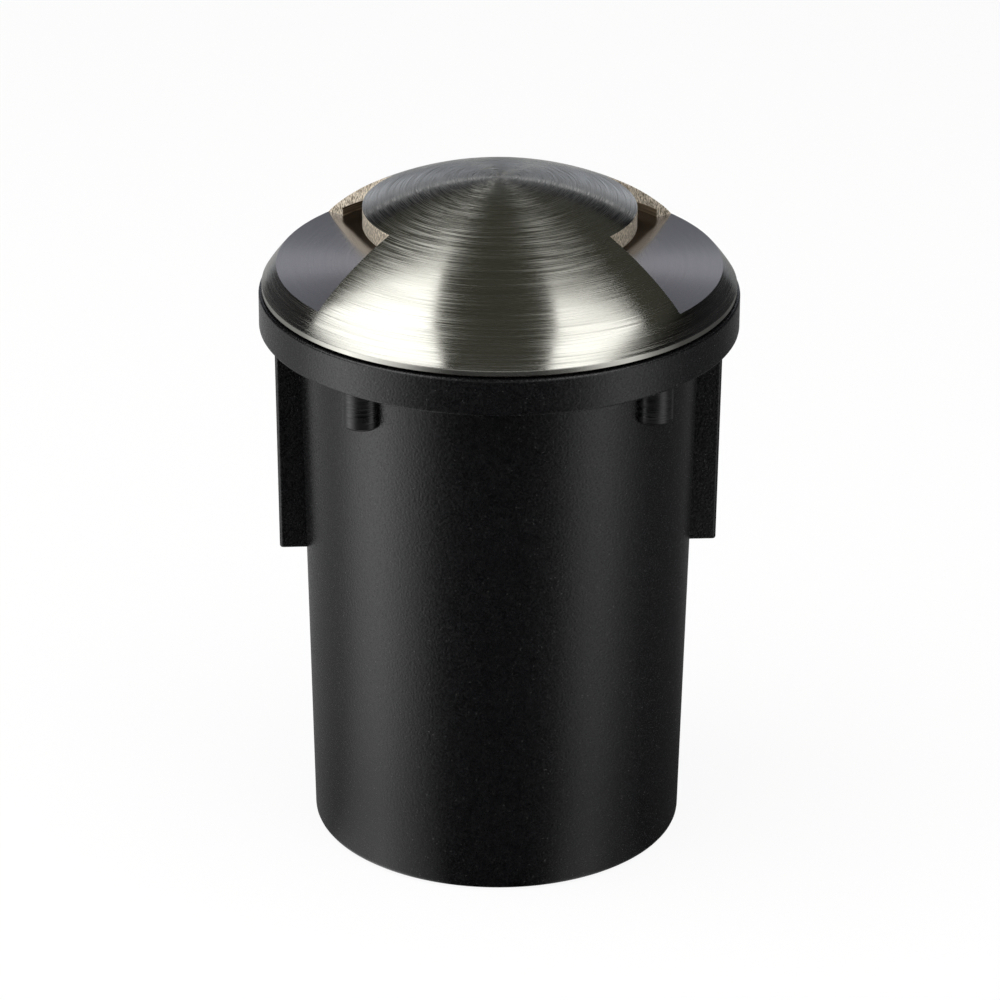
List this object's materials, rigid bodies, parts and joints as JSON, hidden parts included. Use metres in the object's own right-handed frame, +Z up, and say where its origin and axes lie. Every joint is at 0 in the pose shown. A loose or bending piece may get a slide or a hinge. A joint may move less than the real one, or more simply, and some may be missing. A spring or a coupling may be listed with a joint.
{
  "type": "in-ground light",
  "caption": "Round in-ground light: black flanged pot with side fins, domed stainless cover open on two sides, twist-lock lamp under glass and cable glands in a floor plate.",
  "frame": {"origin": "middle of the pot's base, on the surface it stands on", "axes": "+Z up along the pot's axis, -Y towards the viewer of the picture, windows towards +X and -X"},
  "size_m": [0.11, 0.11, 0.1598],
  "materials": {
    "black_plastic": "fine-grained moulding",
    "brushed_stainless": "turned with concentric brush lines, cut walls left as cast",
    "black_rubber": "matt",
    "silicone_rubber": "matt",
    "stainless_screws": "bright",
    "toughened_glass": "polished",
    "plated_steel": "zinc plated",
    "cast_aluminium": "fine cast, lacquered",
    "white_plastic": "satin moulding",
    "nickel_brass": "nickel plated",
    "white_board": "white solder mask",
    "lamp_lens_plastic": "frosted",
    "steatite": "unglazed",
    "brass": "bare",
    "brown_sleeve": "satin sleeve",
    "blue_sleeve": "satin sleeve",
    "gland_nylon": "moulded"
  },
  "bodies": {
    "pot": {"body_pot": "black_plastic", "gland_plate": "black_plastic", "cover_gasket": "black_rubber", "cover_screws": "stainless_screws", "screw_seals": "black_rubber", "lampholder_body": "steatite", "lampholder_contacts": "brass", "lampholder_screws": "plated_steel", "lampholder_bracket": "plated_steel", "bracket_screws": "plated_steel", "terminal_block": "white_plastic", "terminal_clamps": "brass", "terminal_screws": "plated_steel", "terminal_fixing_screws": "plated_steel", "live_lead": "brown_sleeve", "neutral_lead": "blue_sleeve", "gland_bodies": "gland_nylon", "gland_washers": "black_rubber", "gland_locknuts": "gland_nylon", "gland_seals": "black_rubber", "gland_nuts": "gland_nylon"},
    "cover": {"dome_cover": "brushed_stainless", "lens_glass": "toughened_glass", "lens_seal": "silicone_rubber", "lens_clamp_ring": "plated_steel", "clamp_ring_screws": "stainless_screws"},
    "lamp": {"lamp_body": "cast_aluminium", "lamp_base": "white_plastic", "lamp_pins": "nickel_brass", "lamp_board": "white_board", "lamp_lens": "lamp_lens_plastic"}
  },
  "joints": [
    {"name": "cover_lift", "type": "slide", "parent": "pot", "child": "cover", "axis": [0, 0, 1], "range_m": [0, 0.06]},
    {"name": "lamp_twist", "type": "hinge", "parent": "pot", "child": "lamp", "pos_m": [0, 0, 0.08], "axis": [0, 0, 1], "range_deg": [0, 40]}
  ]
}
